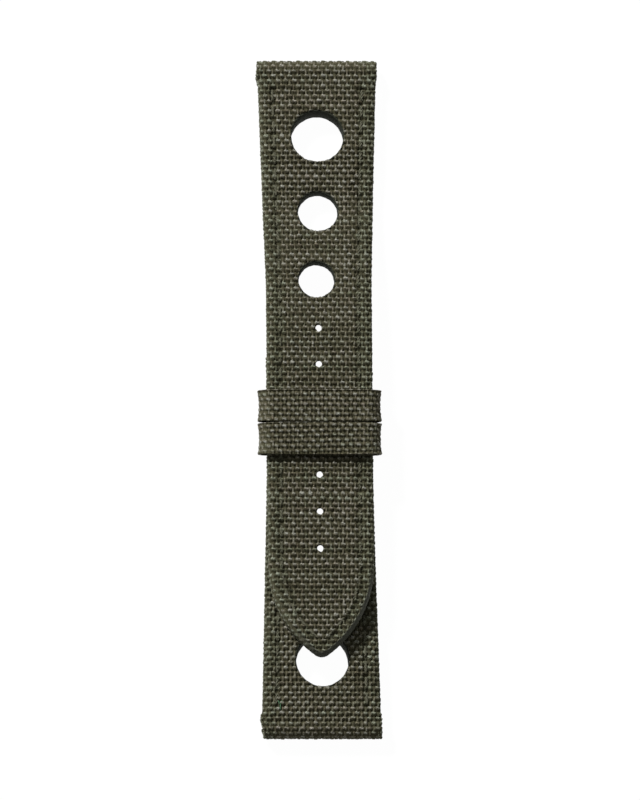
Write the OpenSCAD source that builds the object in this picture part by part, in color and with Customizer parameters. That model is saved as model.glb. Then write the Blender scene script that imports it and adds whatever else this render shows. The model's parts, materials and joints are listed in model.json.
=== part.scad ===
// A canvas watch strap in two straps, lying flat, with the long strap's tail threaded
// through the two keepers of the short strap.
// X runs across the strap, Y along it towards the long strap's lug end, and Z up.
// The origin is under the middle of the whole strap, on the surface that it lies on.
// Along either strap, s is the distance from its own lug end.

/* [Straps] */
// Width of the folded ends that sit between the watch lugs
lug_w = 22; // [21:0.5:24]
// Width of the tail and of the buckle end
tail_w = 19.3; // [17.5:0.1:20]
// Length of the long strap, from its lug end to the nose of its tip
long_len = 114.5; // [110:0.5:125]
// Length of the short strap, from its lug end to its buckle end
short_len = 72.7; // [71:0.1:80]
// How far the long strap's tip lies past the short strap's buckle end
overlap = 58.2; // [56:0.1:60]
// Where the long strap stops narrowing
long_taper = 43; // [36:1:50]
// Where the short strap stops narrowing
short_taper = 50; // [44:1:52]
// Length of the pointed tip
tip_len = 17.4; // [14:0.2:20]
// Radius of the nose of the tip
nose_r = 2; // [1.5:0.1:3]

/* [Folded ends] */
// Radius of the channel for the spring bar at each lug end
lug_bar_r = 1.05; // [0.8:0.05:1.2]
// Radius of the channel for the buckle's bar
buckle_bar_r = 0.9; // [0.7:0.05:1.1]
// Length of a lug end's fold, up to where the lining starts
fold_len = 4.6; // [4.4:0.1:6]
// How much a fold stands out past the strap's side
fold_step = 0.25; // [0.1:0.05:0.5]
// Length of the buckle end that has no lining
buckle_fold_len = 7; // [6.5:0.1:8]
// Width of the slot for the buckle's tongue
slot_w = 5; // [4.4:0.1:6]
// Length of that slot, from the buckle end
slot_len = 5.4; // [5:0.1:6]

/* [Layers] */
// Thickness of the strap where the padding is thin
strap_t = 2.7; // [2.4:0.1:3.2]
// Thickness of the canvas cover
canvas_t = 0.7; // [0.5:0.05:0.8]
// Thickness of the lining
lining_t = 0.6; // [0.4:0.05:0.7]
// Thickness of the reinforcing tape
tape_t = 0.4; // [0.3:0.05:0.5]
// Distance from a lug end over which the padding stays full
pad_full = 16; // [10:0.5:18]
// Distance from a lug end at which the padding has become thin
pad_end = 28; // [22:0.5:34]
// Distance from the strap's side to the lining's edge
lining_inset = 0.8; // [0.5:0.1:1.5]
// Width of the canvas hem that is turned under, from the strap's side
hem_w = 3; // [2.4:0.1:4]
// Width of the rounded shoulder along the top edges
shoulder_w = 1.3; // [0.8:0.1:1.5]
// Height of that shoulder
shoulder_h = 0.9; // [0.5:0.1:1.1]

/* [Holes] */
// Diameter of the first large hole, nearest to the watch
rally_d1 = 9.8; // [7:0.1:11]
// Diameter of the second large hole
rally_d2 = 7.5; // [5:0.1:9]
// Diameter of the third large hole
rally_d3 = 6.8; // [4:0.1:8]
// Distance of the first large hole from the lug end
rally_s1 = 14.9; // [13:0.1:17]
// Distance of the second large hole from the lug end
rally_s2 = 29.2; // [27:0.1:31]
// Distance of the third large hole from the lug end
rally_s3 = 42.8; // [40:0.1:44]
// Thickness of the paint on the cut edge of each large hole
edging_t = 0.15; // [0.1:0.05:0.3]
// Diameter of a tongue hole in the canvas
tongue_d = 1.2; // [1:0.1:1.8]
// Diameter of the punched hole in the layers under the canvas
punch_d = 2.6; // [2:0.1:3]
// Distance of the first tongue hole from the lug end
tongue_s = 52.3; // [51:0.1:54]
// Distance between tongue holes
tongue_pitch = 7; // [6:0.1:7.2]
// Number of tongue holes
tongue_count = 7; // [5:1:7]
// Diameter of the holes in the short strap that daylight shows through
sight_d = 3; // [2.4:0.1:3.4]
// How far such a hole lies from below its tongue hole, towards the buckle end
sight_shift = 1.4; // [1:0.1:2]

/* [Keepers] */
// Length of a keeper along the strap
keeper_len = 6.1; // [5:0.1:7]
// Thickness of a keeper's canvas
keeper_canvas_t = 0.7; // [0.5:0.05:0.8]
// Thickness of a keeper's lining
keeper_lining_t = 0.4; // [0.3:0.05:0.6]
// Distance from the buckle end to the bottom of the fixed keeper
keeper_from_end = 6; // [5.8:0.1:8]
// How far a keeper's top leans towards the long strap's tip
keeper_lean = 2.2; // [0:0.1:2.6]
// Outer corner radius of a keeper
keeper_corner_r = 2.6; // [2:0.1:3]
// Width of the joint in a keeper's band, under the strap
joint_w = 0.4; // [0.3:0.05:0.6]
// Clearance between pieces that slide past each other
fit_gap = 0.3; // [0.25:0.05:0.4]

/* [Sewing] */
// Distance from the strap's side to its seam
seam_inset = 2.5; // [2:0.1:2.6]
// Distance from one stitch to the next
stitch_pitch = 3; // [2.5:0.1:4]
// Length of a stitch
stitch_len = 2.2; // [1.5:0.1:2.3]
// Radius of the thread
thread_r = 0.2; // [0.15:0.01:0.22]
// Width of the groove that a seam lies in
groove_w = 0.6; // [0.5:0.05:0.8]
// Distance from a lug end to the seam's first stitch
seam_start = 6; // [5.4:0.1:8]

/* [Hidden] */
$fn = 64;

canvas_colour = [0.29, 0.29, 0.24];
padding_colour = [0.82, 0.78, 0.68];
tape_colour = [0.75, 0.75, 0.72];
lining_colour = [0.17, 0.16, 0.14];
thread_colour = [0.26, 0.28, 0.21];
edging_colour = [0.16, 0.17, 0.14];

// Names for the two straps
LONG = true;
SHORT = false;

// A fold wraps its bar channel in tape and canvas, and its diameter is the padded thickness
roll_r = lug_bar_r + tape_t + canvas_t;
buckle_r = buckle_bar_r + tape_t + canvas_t;
lug_t = 2 * roll_r;
half_len = (long_len + short_len - overlap) / 2;
keeper_t = keeper_canvas_t + keeper_lining_t;

// The short strap is lifted by the keepers' bottoms, and the tail lies above its padded end
short_z = keeper_t + fit_gap;
tail_z = lug_t + fit_gap;
rise_end = 44;
droop_start = 12;
droop_end = long_len - overlap + 2.5;
buckle_z = short_z + strap_t - buckle_r;

// Heights inside a keeper, and its outer size
keeper_in_top = tail_z + strap_t + fit_gap;
keeper_top = keeper_in_top + keeper_t;
keeper_in_w = tail_w + 2 * fit_gap;
keeper_w = keeper_in_w + 2 * keeper_t;
fixed_s = short_len - keeper_from_end - keeper_len;
free_s = fixed_s - keeper_len - fit_gap;

// The tip is an ogive: two large arcs, tangent to the sides and to the nose
tip_r = (pow(tail_w / 2, 2) + pow(tip_len - nose_r, 2) - pow(nose_r, 2)) / (tail_w - 2 * nose_r);
tip_centre_x = tail_w / 2 - tip_r;
nose_angle = atan2(tip_len - nose_r, -tip_centre_x);
nose_flat = 0.1;

groove_d = 2 * thread_r + 0.02;
cut = 1;
sight_holes = [4, 6];

function smooth(u) = let(v = min(max(u, 0), 1)) v * v * (3 - 2 * v);
function steps(a, b, n) = [for (i = [1:n]) a + (b - a) * i / n];
function flip(list) = [for (i = [len(list) - 1:-1:0]) list[i]];
function mirror_x(list) = [for (p = flip(list)) [-p[0], p[1]]];

// Where a strap's s lies along Y
function place(long, s) = long ? half_len - s : s - half_len;

// Height of a strap's underside, and its thickness, at s
function under(long, s) = long
    ? tail_z * smooth((s - droop_start) / (droop_end - droop_start))
    : short_z * smooth((s - pad_full) / (rise_end - pad_full));
function thick(s) = lug_t + (strap_t - lug_t) * smooth((s - pad_full) / (pad_end - pad_full));
function top(long, s) = under(long, s) + thick(s);

// Half of a strap's width at s: the fold, a small step in, and the taper
function half_w(long, s) =
    let(end = long ? long_taper : short_taper, wide = lug_w / 2 - fold_step)
    s <= fold_len - 1 ? lug_w / 2
    : s < fold_len ? lug_w / 2 - fold_step * (s - fold_len + 1)
    : wide + (tail_w / 2 - wide) * min((s - fold_len) / (end - fold_len), 1);

// Places along each strap where its cross-section is worked out
long_stations = concat([roll_r, fold_len - 1, fold_len], steps(fold_len, long_taper, 14),
    steps(long_taper, droop_end, 5), [long_len - tip_len]);
short_stations = concat([roll_r, fold_len - 1, fold_len], steps(fold_len, short_taper, 16),
    [short_len - buckle_fold_len, short_len - buckle_r]);

// The right side of a strap's plan, as [x, s], drawn in by inset.
// The tip's arcs keep their centres, so their radii shrink by inset. Past the nose's own
// radius the two large arcs meet on the centre line.
function tip_side(inset) =
    let(
        r = tip_r - inset,
        nose = nose_r - inset,
        turn = nose > 0 ? nose_angle : acos((nose_flat - tip_centre_x) / r),
        arc = [for (a = steps(0, turn, 8))
            [tip_centre_x + r * cos(a), long_len - tip_len + r * sin(a)]],
        round_nose = [for (a = steps(nose_angle, 90, 4))
            [max(nose * cos(a), nose_flat), long_len - nose_r + nose * sin(a)]]
    )
    nose > 0 ? concat(arc, round_nose) : arc;
function side(long, inset) = concat(
    [for (s = long ? long_stations : short_stations) [half_w(long, s) - inset, s]],
    long ? tip_side(inset) : []);

// A solid between a strap's two sides, with one ring of points for each [inset, height]
// pair. A height of 0 or more counts up from the underside, and below 0 down from the top.
module loft(long, rings) {
    n = len(side(long, 0));
    m = 2 * n;
    last = (len(rings) - 1) * m;
    points = [
        for (ring = rings)
            let(half = side(long, ring[0]))
            for (p = concat(half, mirror_x(half)))
                [p[0], place(long, p[1]),
                    ring[1] >= 0 ? under(long, p[1]) + ring[1] : top(long, p[1]) + ring[1]]
    ];
    walls = [
        for (k = [0:len(rings) - 2])
            for (i = [0:m - 1])
                let(a = k * m + i, b = k * m + (i + 1) % m)
                each [[a, b, b + m], [a, b + m, a + m]]
    ];
    floor_strips = [for (j = [0:n - 2]) [j, m - 1 - j, m - 2 - j, j + 1]];
    roof_strips = [for (f = floor_strips) [for (v = flip(f)) v + last]];
    faces = concat(walls, floor_strips, roof_strips);
    polyhedron(points, long ? faces : [for (f = faces) flip(f)]);
}

// A slab across the strap between two heights that follow its side view
module band(long, s_from, s_to, low, high, below_top = false) {
    stations = concat([s_from],
        [for (s = long ? concat(long_stations, [long_len + cut]) : short_stations)
            if (s > s_from && s < s_to) s],
        [s_to]);
    base = [for (s = stations) [place(long, s), below_top ? top(long, s) : under(long, s)]];
    lower = [for (p = base) [p[0], p[1] + low]];
    upper = [for (i = [0:len(base) - 1])
        [base[i][0], high < 0 ? top(long, stations[i]) + high : base[i][1] + high]];
    rotate([90, 0, 90])
        linear_extrude(lug_w + 2 * cut, center = true)
            polygon(concat(lower, flip(upper)));
}

// A strap's plan, drawn in by inset and cut right through
module plan(long, inset) {
    half = side(long, inset);
    translate([0, 0, -cut])
        linear_extrude(keeper_top + 2 * cut)
            polygon([for (p = concat(half, mirror_x(half))) [p[0], place(long, p[1])]]);
}

// A bar that runs across the strap
module cross_bar(long, s, z, r, length) {
    translate([0, place(long, s), z])
        rotate([0, 90, 0])
            cylinder(h = length, r = r, center = true);
}

// A round cutter down through a strap
module drill(long, s, d) {
    translate([0, place(long, s), -cut])
        cylinder(h = keeper_top + 2 * cut, d = d);
}

module rally_holes(long, grow = 0) {
    drill(long, rally_s1, rally_d1 + 2 * grow);
    drill(long, rally_s2, rally_d2 + 2 * grow);
    drill(long, rally_s3, rally_d3 + 2 * grow);
}

// Tongue holes go through the long strap. The short strap has a hole under two of those
// that its own large holes leave covered.
module small_holes(long, d) {
    if (long)
        for (i = [0:tongue_count - 1])
            drill(LONG, tongue_s + i * tongue_pitch, d);
    else
        for (i = sight_holes)
            drill(LONG, tongue_s + i * tongue_pitch - sight_shift, sight_d);
}

module tongue_slot() {
    translate([-slot_w / 2, place(SHORT, short_len - slot_len), -cut])
        cube([slot_w, slot_len + cut, keeper_top]);
}

module bar_channels(long) {
    cross_bar(long, roll_r, roll_r, lug_bar_r, lug_w + 2 * cut);
    if (!long)
        cross_bar(SHORT, short_len - buckle_r, buckle_z, buckle_bar_r, lug_w + 2 * cut);
}

// The groove that a seam lies in, in a layer's top or bottom
module seam_groove(long, on_top) {
    seam_end = long ? long_len : short_len - buckle_fold_len;
    intersection() {
        difference() {
            plan(long, seam_inset - groove_w / 2);
            plan(long, seam_inset + groove_w / 2);
        }
        if (on_top)
            band(long, seam_start - thread_r, seam_end, -groove_d, cut, true);
        else
            band(long, seam_start - thread_r, seam_end, -cut, groove_d);
    }
}

// The filler that gives the strap its body: it starts past the fold round the bar, full at
// first and thin along the rest
module padding(long) {
    pad_to = long ? long_len : short_len - buckle_fold_len;
    intersection() {
        plan(long, canvas_t);
        band(long, lug_t, pad_to, lining_t + tape_t, -canvas_t);
    }
}

// The tape that carries the pull: it runs the whole strap and loops round each bar
module tape(long) {
    intersection() {
        plan(long, hem_w);
        band(long, roll_r, long ? long_len : short_len - buckle_r, lining_t, lining_t + tape_t);
    }
    cross_bar(long, roll_r, roll_r, lug_bar_r + tape_t, lug_w - 2 * canvas_t);
    if (!long)
        cross_bar(SHORT, short_len - buckle_r, buckle_z, buckle_bar_r + tape_t,
            tail_w - 2 * canvas_t);
}

// The canvas: top, rounded shoulders, sides, turned hems and the folds round the bars
module cover(long) {
    lining_to = long ? long_len + cut : short_len - buckle_fold_len;
    difference() {
        union() {
            loft(long, [
                [0.25, 0],
                [0, 0.3],
                [0, -shoulder_h],
                [shoulder_w * 0.15, -shoulder_h * 0.47],
                [shoulder_w * 0.42, -shoulder_h * 0.18],
                [shoulder_w, -0.001]
            ]);
            cross_bar(long, roll_r, roll_r, roll_r, lug_w);
            if (!long)
                cross_bar(SHORT, short_len - buckle_r, buckle_z, buckle_r, tail_w);
        }
        band(long, fold_len, lining_to, -cut, lining_t);
        padding(long);
        tape(long);
        bar_channels(long);
        rally_holes(long, edging_t);
        small_holes(long, tongue_d);
        seam_groove(long, true);
        if (!long)
            tongue_slot();
    }
}

module padding_piece(long) {
    difference() {
        padding(long);
        rally_holes(long, edging_t);
        small_holes(long, punch_d);
    }
}

module tape_piece(long) {
    difference() {
        tape(long);
        bar_channels(long);
        rally_holes(long, edging_t);
        small_holes(long, punch_d);
        if (!long)
            tongue_slot();
    }
}

module lining(long) {
    lining_to = long ? long_len : short_len - buckle_fold_len;
    difference() {
        intersection() {
            plan(long, lining_inset);
            band(long, fold_len, lining_to, 0, lining_t);
        }
        rally_holes(long, edging_t);
        small_holes(long, punch_d);
        seam_groove(long, false);
    }
}

// The paint that seals the cut edge of each large hole
module hole_edging(long) {
    intersection() {
        difference() {
            rally_holes(long, edging_t);
            rally_holes(long);
        }
        band(long, fold_len, rally_s3 + rally_d3, 0, -0.001);
    }
}

// A straight length of thread between two points
module thread(a, b) {
    v = b - a;
    translate(a)
        rotate([0, acos(v[2] / norm(v)), atan2(v[1], v[0])])
            cylinder(h = norm(v), r = thread_r, $fn = 16);
}

// A seam's stitches, stepped along both sides of a strap at a steady pitch
module seam(long, on_top) {
    path = [for (p = side(long, seam_inset)) if (p[1] > fold_len) p];
    reach = [for (i = 0, d = 0; i < len(path);
        d = d + (i + 1 < len(path) ? norm(path[i + 1] - path[i]) : 0), i = i + 1) d];
    along_x = [for (i = [0:len(path) - 1]) [reach[i], path[i][0]]];
    along_s = [for (i = [0:len(path) - 1]) [reach[i], path[i][1]]];
    total = reach[len(reach) - 1] - (long ? stitch_len / 2 : buckle_fold_len - buckle_r);
    start = seam_start - path[0][1];
    count = floor((total - start - stitch_len) / stitch_pitch);
    lift = on_top ? thread_r - groove_d : groove_d - thread_r;
    for (i = [0:count])
        for (hand = [-1, 1])
            let(
                d = start + i * stitch_pitch,
                ends = [for (e = [d, d + stitch_len])
                    let(s = lookup(e, along_s))
                    [hand * lookup(e, along_x), place(long, s),
                        (on_top ? top(long, s) : under(long, s)) + lift]]
            )
            thread(ends[0], ends[1]);
}

// A bar with rounded corners that runs along Y
module round_bar(w, low, high, r, length) {
    h = high - low;
    translate([0, 0, low + h / 2]) {
        cube([w - 2 * r, length, h], center = true);
        cube([w, length, h - 2 * r], center = true);
        for (x = [-1, 1])
            for (z = [-1, 1])
                translate([x * (w / 2 - r), 0, z * (h / 2 - r)])
                    rotate([90, 0, 0])
                        cylinder(h = length, r = r, center = true);
    }
}

// A keeper's band between two offsets out from its inner face, leaning towards the tip
module keeper_band(s, inner, outer) {
    reach = 4 * keeper_len + 2 * keeper_lean;
    corner = keeper_corner_r - keeper_t;
    y = place(SHORT, s);
    intersection() {
        translate([0, y, 0])
            difference() {
                round_bar(keeper_in_w + 2 * outer, keeper_t - outer, keeper_in_top + outer,
                    corner + outer, reach);
                round_bar(keeper_in_w + 2 * inner, keeper_t - inner, keeper_in_top + inner,
                    corner + inner, reach + cut);
            }
        rotate([90, 0, 90])
            linear_extrude(keeper_w + 2 * cut, center = true)
                polygon([
                    [y, 0], [y + keeper_len, 0],
                    [y + keeper_len - keeper_lean, keeper_top], [y - keeper_lean, keeper_top]
                ]);
    }
}

module keeper_cover(s) {
    difference() {
        keeper_band(s, keeper_lining_t, keeper_t);
        translate([-joint_w / 2, place(SHORT, s) - keeper_len, -cut])
            cube([joint_w, 3 * keeper_len, keeper_t + cut]);
    }
}

module long_cover() { color(canvas_colour) cover(LONG); }
module long_padding() { color(padding_colour) padding_piece(LONG); }
module long_tape() { color(tape_colour) tape_piece(LONG); }
module long_lining() { color(lining_colour) lining(LONG); }
module long_needle_thread() { color(thread_colour) seam(LONG, true); }
module long_bobbin_thread() { color(thread_colour) seam(LONG, false); }
module long_hole_edging() { color(edging_colour) hole_edging(LONG); }

module short_cover() { color(canvas_colour) cover(SHORT); }
module short_padding() { color(padding_colour) padding_piece(SHORT); }
module short_tape() { color(tape_colour) tape_piece(SHORT); }
module short_lining() { color(lining_colour) lining(SHORT); }
module short_needle_thread() { color(thread_colour) seam(SHORT, true); }
module short_bobbin_thread() { color(thread_colour) seam(SHORT, false); }
module short_hole_edging() { color(edging_colour) hole_edging(SHORT); }

module fixed_keeper_cover() { color(canvas_colour) keeper_cover(fixed_s); }
module fixed_keeper_lining() { color(lining_colour) keeper_band(fixed_s, 0, keeper_lining_t); }

// Four tacks hold the fixed keeper's bottom to the short strap's lining
module fixed_keeper_tacks() {
    color(thread_colour)
        for (x = [-1, 1])
            for (t = [0.3, 0.7])
                let(
                    at = [x * tail_w / 4, place(SHORT, fixed_s + t * keeper_len), 0],
                    foot = at + [0, 0, keeper_t],
                    head = at + [0, 0, short_z]
                )
                thread(foot, head);
}

module free_keeper_cover() { color(canvas_colour) keeper_cover(free_s); }
module free_keeper_lining() { color(lining_colour) keeper_band(free_s, 0, keeper_lining_t); }

// Three passes of thread close the joint in the free keeper's band
module free_keeper_joint_thread() {
    color(thread_colour)
        for (t = [0.25, 0.5, 0.75])
            let(at = [0, place(SHORT, free_s + t * keeper_len), 0])
            thread(at + [0, 0, 0.05], at + [0, 0, keeper_canvas_t]);
}

long_cover();
long_padding();
long_tape();
long_lining();
long_needle_thread();
long_bobbin_thread();
long_hole_edging();
short_cover();
short_padding();
short_tape();
short_lining();
short_needle_thread();
short_bobbin_thread();
short_hole_edging();
fixed_keeper_cover();
fixed_keeper_lining();
fixed_keeper_tacks();
free_keeper_cover();
free_keeper_lining();
free_keeper_joint_thread();
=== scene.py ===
"""A canvas rally watch strap: two padded straps of coarse plain weave, the long one's tail
threaded through the short one's two keepers.

Lengths are in millimetres until a mesh is made. A strap's own coordinates are x across it, s
from its lug end along it, and z up. The canvas also has flat coordinates, x and run, in which
it was woven: run is s along the top, and goes on round the folds at the ends."""

import json

import bpy
import numpy as np
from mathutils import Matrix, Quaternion, Vector


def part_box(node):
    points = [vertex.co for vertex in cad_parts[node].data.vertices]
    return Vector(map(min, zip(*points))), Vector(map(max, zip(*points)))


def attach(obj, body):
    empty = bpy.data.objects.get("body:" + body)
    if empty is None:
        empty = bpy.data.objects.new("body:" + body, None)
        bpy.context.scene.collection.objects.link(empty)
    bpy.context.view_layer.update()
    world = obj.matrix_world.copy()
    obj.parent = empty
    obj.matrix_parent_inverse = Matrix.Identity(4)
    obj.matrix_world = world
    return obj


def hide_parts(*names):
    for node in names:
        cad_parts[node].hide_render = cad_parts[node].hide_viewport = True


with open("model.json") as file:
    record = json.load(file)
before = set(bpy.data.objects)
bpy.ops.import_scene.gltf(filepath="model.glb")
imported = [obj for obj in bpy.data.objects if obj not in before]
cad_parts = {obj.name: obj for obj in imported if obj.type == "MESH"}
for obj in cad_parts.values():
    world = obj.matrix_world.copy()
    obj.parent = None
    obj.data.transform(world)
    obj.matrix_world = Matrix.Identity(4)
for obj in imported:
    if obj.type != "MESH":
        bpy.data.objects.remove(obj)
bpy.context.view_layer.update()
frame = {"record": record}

MM = 0.001


def box_mm(node):
    """A CAD node's lowest and highest corners in millimetres."""
    return [np.array(corner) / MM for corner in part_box(node)]


MOUNTS = {m["name"]: np.array(m["pos_m"]) / MM for m in frame["record"]["mounts"]}
LONG_LOW, LONG_HIGH = box_mm("long_cover")
SHORT_LOW, SHORT_HIGH = box_mm("short_cover")

# Sizes that the frame gives
HALF_LEN = LONG_HIGH[1]
LUG_HALF = LONG_HIGH[0]
LONG_LEN = LONG_HIGH[1] - LONG_LOW[1]
SHORT_LEN = SHORT_HIGH[1] - SHORT_LOW[1]
ROLL_R = MOUNTS["long_lug_bar"][2]
BUCKLE_S = MOUNTS["buckle_bar_left"][1] + HALF_LEN
BUCKLE_Z = MOUNTS["buckle_bar_left"][2]
BUCKLE_R = SHORT_LEN - BUCKLE_S

# Sizes of the straps, as in the part's source
TAIL_HALF = 9.65
LONG_TAPER, SHORT_TAPER = 43, 50
TIP_LEN, NOSE_R = 17.4, 2
FOLD_LEN, FOLD_STEP = 4.6, 0.25
BUCKLE_FOLD_LEN = 7
STRAP_T, LUG_T = 2.7, 2 * ROLL_R
SHOULDER_W, SHOULDER_H = 1.3, 0.9
PAD_FULL, PAD_END = 16, 28
SHORT_Z, TAIL_Z = 1.4, LUG_T + 0.3
RISE_END, DROOP_START, DROOP_END = 44, 12, 58.8
LINING_T, LINING_INSET = 0.6, 0.8
RALLY_S, RALLY_R = (14.9, 29.2, 42.8), (4.9, 3.75, 3.4)
TONGUE_S = 52.3 + 7 * np.arange(7)
TONGUE_R, PUNCH_R, SIGHT_R, SIGHT_SHIFT = 0.6, 1.3, 1.5, 1.4
SLOT_HALF, SLOT_LEN = 2.5, 5.4
SEAM_INSET, SEAM_START, STITCH_PITCH, STITCH_LEN = 2.5, 6, 3, 2.2
KEEPER_T, KEEPER_LINING_T, KEEPER_LEAN, KEEPER_THREAD_R = 0.7, 0.4, 2.2, 0.2

# How far the canvas runs on past the nose, to turn under the tip, and under the buckle roll
TIP_HEM, BUCKLE_FLAP = 6, 5
# How far to the side the tongue holes were punched, and about how far it is round a keeper
TONGUE_X, KEEPER_ROUND = -0.13, 55

# The tip is two large arcs that meet in a small round nose
TIP_S, NOSE_S = LONG_LEN - TIP_LEN, LONG_LEN - NOSE_R
TIP_R = (TAIL_HALF**2 + (TIP_LEN - NOSE_R) ** 2 - NOSE_R**2) / (2 * (TAIL_HALF - NOSE_R))
TIP_X = TAIL_HALF - TIP_R
NOSE_ANGLE = np.arctan2(NOSE_S - TIP_S, -TIP_X)

# The weave: one weft yarn in each row across the strap, one warp yarn in each column along it.
# These are a column's width and a row's, and half the width of each kind of yarn
WARP, WEFT = 0.754, 0.96
WARP_HALF, WEFT_HALF = 0.17, 0.32
# Heights of a yarn's usual top and of the bottom of a gap, and the samples taken of each yarn
YARN_TOP, GAP_FLOOR = 0.48, -0.14
SAMPLES = 5
STEP_X, STEP_RUN = WARP / SAMPLES, WEFT / SAMPLES
# How far each float of the weft slants from its left end to its right one
LEAN = 0.11
# How deep the canvas's inner face lies, and its coarser step
INNER_DEPTH, INNER_STEP = 0.75, 0.4
# Half the width that each canvas was cut to
CUT_HALF = 17.5


def smooth(u):
    """A step from 0 to 1 that starts and ends level: 3u^2 - 2u^3."""
    v = np.clip(u, 0, 1)
    return v * v * (3 - 2 * v)


class Strap:
    """One strap's side view and plan, and the way that its canvas is laid round them."""

    def __init__(self, long):
        self.long = long
        self.word = "long" if long else "short"
        self.body = self.word + "_strap"
        self.taper = LONG_TAPER if long else SHORT_TAPER
        # The canvas runs from under the lug roll to the tip's hem, or to under the buckle roll
        self.run_from = ROLL_R - np.pi * ROLL_R - (FOLD_LEN - ROLL_R)
        self.last_top = LONG_LEN if long else BUCKLE_S
        self.run_to = LONG_LEN + TIP_HEM if long else BUCKLE_S + np.pi * BUCKLE_R + BUCKLE_FLAP
        self.lining_to = LONG_LEN + 1 if long else SHORT_LEN - BUCKLE_FOLD_LEN
        self.seam_to = TIP_S if long else SHORT_LEN - BUCKLE_FOLD_LEN
        # Each large hole as it was punched: how far off it is to the side and along the strap,
        # and how much longer it is than wide
        if long:
            off = [(0, 0.05, 0.05), (0, 0.1, 0.2), (-0.4, 0.05, 0.25)]
        else:
            off = [(0.2, -0.35, 0.3), (0, 0, 0.2), (0, 0, 0.2)]
        self.rally = [
            (x, s + along, r, longer) for s, r, (x, along, longer) in zip(RALLY_S, RALLY_R, off)]
        # The left side of the lug end: a bulge's size and place, and how far the corner is in
        self.bulge = (0.2, 3, 0) if long else (0.35, 4, 0.45)

    def turned(self, ways):
        """Directions (x, s, z) in the frame's axes: the long strap runs towards -Y."""
        return ways * [1, -1 if self.long else 1, 1]

    def place(self, points):
        """Points (x, s, z) in the frame, whose lug ends lie HALF_LEN either way."""
        return self.turned(points) + [0, HALF_LEN if self.long else -HALF_LEN, 0]

    def under(self, s):
        """Height of the underside: the tail droops from the keepers to the floor, and the
        short strap rises to lie on the keepers' bottoms."""
        if self.long:
            return TAIL_Z * smooth((s - DROOP_START) / (DROOP_END - DROOP_START))
        return SHORT_Z * smooth((s - PAD_FULL) / (RISE_END - PAD_FULL))

    def thick(self, s):
        """Thickness: full at the lug end, and thin from PAD_END on."""
        return LUG_T + (STRAP_T - LUG_T) * smooth((s - PAD_FULL) / (PAD_END - PAD_FULL))

    def top(self, s):
        return self.under(s) + self.thick(s)

    def over(self, lift):
        """The height that stays lift above the underside, as a function of s."""
        return lambda s: self.under(s) + lift

    def half_width(self, s):
        """Half the width: the fold, a small step in, then a straight taper."""
        places = [FOLD_LEN - 1, FOLD_LEN, self.taper]
        return np.interp(s, places, [LUG_HALF, LUG_HALF - FOLD_STEP, TAIL_HALF])

    def path(self, run):
        """The canvas's outer face in side view, at run: s, z and the outward normal (in s, z).
        It follows the strap's top. Each fold is a half circle about its bar, and the flap
        under it runs back along the underside."""
        s = np.clip(run, ROLL_R, self.last_top)
        z = self.top(s)
        near = 0.05
        rise = (self.top(s + near) - self.top(s - near)) / (2 * near)
        up_s, up_z = -rise / np.hypot(rise, 1), 1 / np.hypot(rise, 1)

        # Each fold: its bar's s and z, its radius, which way it goes along the strap, and how
        # far its flap climbs, within 4 mm, from the roll's underside to the strap's
        folds = [(ROLL_R, ROLL_R, ROLL_R, -1, 0)]
        if not self.long:
            folds.append((BUCKLE_S, BUCKLE_Z, BUCKLE_R, 1, SHORT_Z - BUCKLE_Z + BUCKLE_R))
        for bar_s, bar_z, radius, way, climb in folds:
            past = way * (run - bar_s)
            turn = np.clip(past / radius, 0, np.pi)
            flap = np.maximum(past - np.pi * radius, 0)
            rolled = past > 0
            s = np.where(rolled, bar_s + way * (radius * np.sin(turn) - flap), s)
            z = np.where(rolled, bar_z + radius * np.cos(turn) + climb * smooth(flap / 4), z)
            up_s = np.where(rolled, way * np.sin(turn), up_s)
            up_z = np.where(rolled, np.cos(turn), up_z)
        return s, z, up_s, up_z

    def edge_form(self, x, run):
        """The edge's sizes at run: half width, shoulder width and height, how deep the side goes, the
        width of the hem, and how much paint there is. Along a fold the side is only the canvas's
        turned edge. Round the tip the left side rolls gently down, and the right side stands upright
        and is painted; as that side faces away from the lamp, its dark paint is partly painted shade."""
        s = self.path(run)[0]
        # These go from 0 to 1 round the tip, over to its right side, and on to a fold
        tip = smooth((run - TIP_S + 2) / 7) if self.long else 0 * run
        right = smooth((x + 6) / 5)
        fold = 1 - smooth((run - 3.3) / 0.3)
        width = self.half_width(s)
        # How much of the thickness the side leaves free below it
        room = np.interp(run, [FOLD_LEN, FOLD_LEN + 0.2], [0.8, 0.3])
        flap = run < ROLL_R - np.pi * ROLL_R
        if not self.long:
            fold = np.maximum(fold, smooth((run - BUCKLE_S + 0.7) / 0.3))
            room = np.maximum(room, 0.6 * smooth((run - BUCKLE_S + 5) / 0.5))
            flap |= run > BUCKLE_S + np.pi * BUCKLE_R
        narrower = 0.3 * smooth((s - 3.2) / 0.5) if self.long else 0.2
        width -= np.where(flap, narrower, 0)
        full = self.thick(s) - room
        return {
            "width": width,
            "shoulder_w": SHOULDER_W - 0.85 * fold + tip * (0.9 - 1.55 * right),
            "shoulder_h": SHOULDER_H - 0.55 * fold + tip * (0.8 - 0.1 * right),
            "paint": tip * right,
            "depth": full + (0.95 - full) * fold,
            "hem": 1.2 - fold,
        }

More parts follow.
